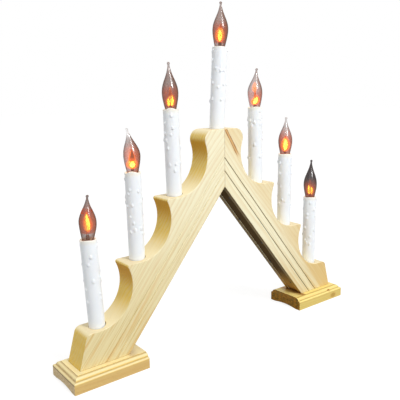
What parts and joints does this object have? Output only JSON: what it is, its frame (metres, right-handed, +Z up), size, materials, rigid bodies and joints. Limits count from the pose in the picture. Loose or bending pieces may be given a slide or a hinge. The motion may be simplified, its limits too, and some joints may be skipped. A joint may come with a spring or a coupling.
{
  "type": "candle arch",
  "caption": "Electric window candle arch: a pointed wooden arch with stepped, scalloped arms on moulded feet, carrying white candle tubes with flame-shaped screw-in bulbs.",
  "frame": {"origin": "on the floor, under the middle of the arch", "axes": "+X along the arch to the right as seen from the front, +Y to the back, +Z up"},
  "size_m": [0.4, 0.052, 0.3787],
  "materials": {
    "pine": "clear satin lacquer over pale pine",
    "beech": "plain sanded dowel",
    "hardboard": "dark brown pressed board",
    "zinc_steel": "bright zinc plate",
    "sleeve_plastic": "white moulded plastic with a soft shine",
    "socket_moulding": "ivory moulding",
    "brass": "bright rolled sheet",
    "contact_plug": "dark insulator with a soldered tip",
    "bulb_glass": "clear blown glass",
    "glowing_plate": "electrode plate with an orange glow",
    "wire_insulation": "white sheathed wire",
    "grommet_rubber": "off-white soft bush"
  },
  "bodies": {
    "arch": {"left_arm": "pine", "right_arm": "pine", "left_foot": "pine", "right_foot": "pine", "mitre_dowels": "beech", "foot_screws": "zinc_steel", "cover_pins": "zinc_steel", "left_channel_cover": "hardboard", "right_channel_cover": "hardboard", "left_link_wires": "wire_insulation", "right_link_wires": "wire_insulation", "feed_wire": "wire_insulation", "return_wire": "wire_insulation", "cord_grommet": "grommet_rubber", "socket_shells": "brass", "socket_contacts": "brass", "candle_sleeve_1": "sleeve_plastic", "candle_sleeve_2": "sleeve_plastic", "candle_sleeve_3": "sleeve_plastic", "candle_sleeve_4": "sleeve_plastic", "candle_sleeve_5": "sleeve_plastic", "candle_sleeve_6": "sleeve_plastic", "candle_sleeve_7": "sleeve_plastic", "socket_body_1": "socket_moulding", "socket_body_2": "socket_moulding", "socket_body_3": "socket_moulding", "socket_body_4": "socket_moulding", "socket_body_5": "socket_moulding", "socket_body_6": "socket_moulding", "socket_body_7": "socket_moulding"},
    "bulb_1_lift": {"bulb_contact_1": "contact_plug"},
    "bulb_1": {"bulb_cap_1": "brass", "bulb_glass_1": "bulb_glass", "bulb_flame_1": "glowing_plate"},
    "bulb_2_lift": {"bulb_contact_2": "contact_plug"},
    "bulb_2": {"bulb_cap_2": "brass", "bulb_glass_2": "bulb_glass", "bulb_flame_2": "glowing_plate"},
    "bulb_3_lift": {"bulb_contact_3": "contact_plug"},
    "bulb_3": {"bulb_cap_3": "brass", "bulb_glass_3": "bulb_glass", "bulb_flame_3": "glowing_plate"},
    "bulb_4_lift": {"bulb_contact_4": "contact_plug"},
    "bulb_4": {"bulb_cap_4": "brass", "bulb_glass_4": "bulb_glass", "bulb_flame_4": "glowing_plate"},
    "bulb_5_lift": {"bulb_contact_5": "contact_plug"},
    "bulb_5": {"bulb_cap_5": "brass", "bulb_glass_5": "bulb_glass", "bulb_flame_5": "glowing_plate"},
    "bulb_6_lift": {"bulb_contact_6": "contact_plug"},
    "bulb_6": {"bulb_cap_6": "brass", "bulb_glass_6": "bulb_glass", "bulb_flame_6": "glowing_plate"},
    "bulb_7_lift": {"bulb_contact_7": "contact_plug"},
    "bulb_7": {"bulb_cap_7": "brass", "bulb_glass_7": "bulb_glass", "bulb_flame_7": "glowing_plate"}
  },
  "joints": [
    {"name": "bulb_1_rise", "type": "slide", "parent": "arch", "child": "bulb_1_lift", "axis": [-0.0454, 0, 0.999], "range_m": [0, 0.00724]},
    {"name": "bulb_1_turn", "type": "hinge", "parent": "bulb_1_lift", "child": "bulb_1", "pos_m": [-0.16442, 0, 0.1414], "axis": [-0.0454, 0, 0.999], "range_deg": [0, 1440]},
    {"name": "bulb_2_rise", "type": "slide", "parent": "arch", "child": "bulb_2_lift", "axis": [-0.0087, 0, 1], "range_m": [0, 0.00724]},
    {"name": "bulb_2_turn", "type": "hinge", "parent": "bulb_2_lift", "child": "bulb_2", "pos_m": [-0.11085, 0, 0.2025], "axis": [-0.0087, 0, 1], "range_deg": [0, 1440]},
    {"name": "bulb_3_rise", "type": "slide", "parent": "arch", "child": "bulb_3_lift", "axis": [-0.0175, 0, 0.9998], "range_m": [0, 0.00724]},
    {"name": "bulb_3_turn", "type": "hinge", "parent": "bulb_3_lift", "child": "bulb_3", "pos_m": [-0.0617, 0, 0.26349], "axis": [-0.0175, 0, 0.9998], "range_deg": [0, 1440]},
    {"name": "bulb_4_rise", "type": "slide", "parent": "arch", "child": "bulb_4_lift", "axis": [0.061, 0, 0.9981], "range_m": [0, 0.00724]},
    {"name": "bulb_4_turn", "type": "hinge", "parent": "bulb_4_lift", "child": "bulb_4", "pos_m": [0.00595, 0, 0.33182], "axis": [0.061, 0, 0.9981], "range_deg": [0, 1440]},
    {"name": "bulb_5_rise", "type": "slide", "parent": "arch", "child": "bulb_5_lift", "axis": [-0.0087, 0, 1], "range_m": [0, 0.00724]},
    {"name": "bulb_5_turn", "type": "hinge", "parent": "bulb_5_lift", "child": "bulb_5", "pos_m": [0.05915, 0, 0.2635], "axis": [-0.0087, 0, 1], "range_deg": [0, 1440]},
    {"name": "bulb_6_rise", "type": "slide", "parent": "arch", "child": "bulb_6_lift", "axis": [0.014, 0, 0.9999], "range_m": [0, 0.00724]},
    {"name": "bulb_6_turn", "type": "hinge", "parent": "bulb_6_lift", "child": "bulb_6", "pos_m": [0.11136, 0, 0.20249], "axis": [0.014, 0, 0.9999], "range_deg": [0, 1440]},
    {"name": "bulb_7_rise", "type": "slide", "parent": "arch", "child": "bulb_7_lift", "axis": [0.0052, 0, 1], "range_m": [0, 0.00724]},
    {"name": "bulb_7_turn", "type": "hinge", "parent": "bulb_7_lift", "child": "bulb_7", "pos_m": [0.16051, 0, 0.1415], "axis": [0.0052, 0, 1], "range_deg": [0, 1440]}
  ],
  "couplings": [
    {"joint": "bulb_1_rise", "follows": "bulb_1_turn", "m_per_rad": 0.00028807},
    {"joint": "bulb_2_rise", "follows": "bulb_2_turn", "m_per_rad": 0.00028807},
    {"joint": "bulb_3_rise", "follows": "bulb_3_turn", "m_per_rad": 0.00028807},
    {"joint": "bulb_4_rise", "follows": "bulb_4_turn", "m_per_rad": 0.00028807},
    {"joint": "bulb_5_rise", "follows": "bulb_5_turn", "m_per_rad": 0.00028807},
    {"joint": "bulb_6_rise", "follows": "bulb_6_turn", "m_per_rad": 0.00028807},
    {"joint": "bulb_7_rise", "follows": "bulb_7_turn", "m_per_rad": 0.00028807}
  ]
}
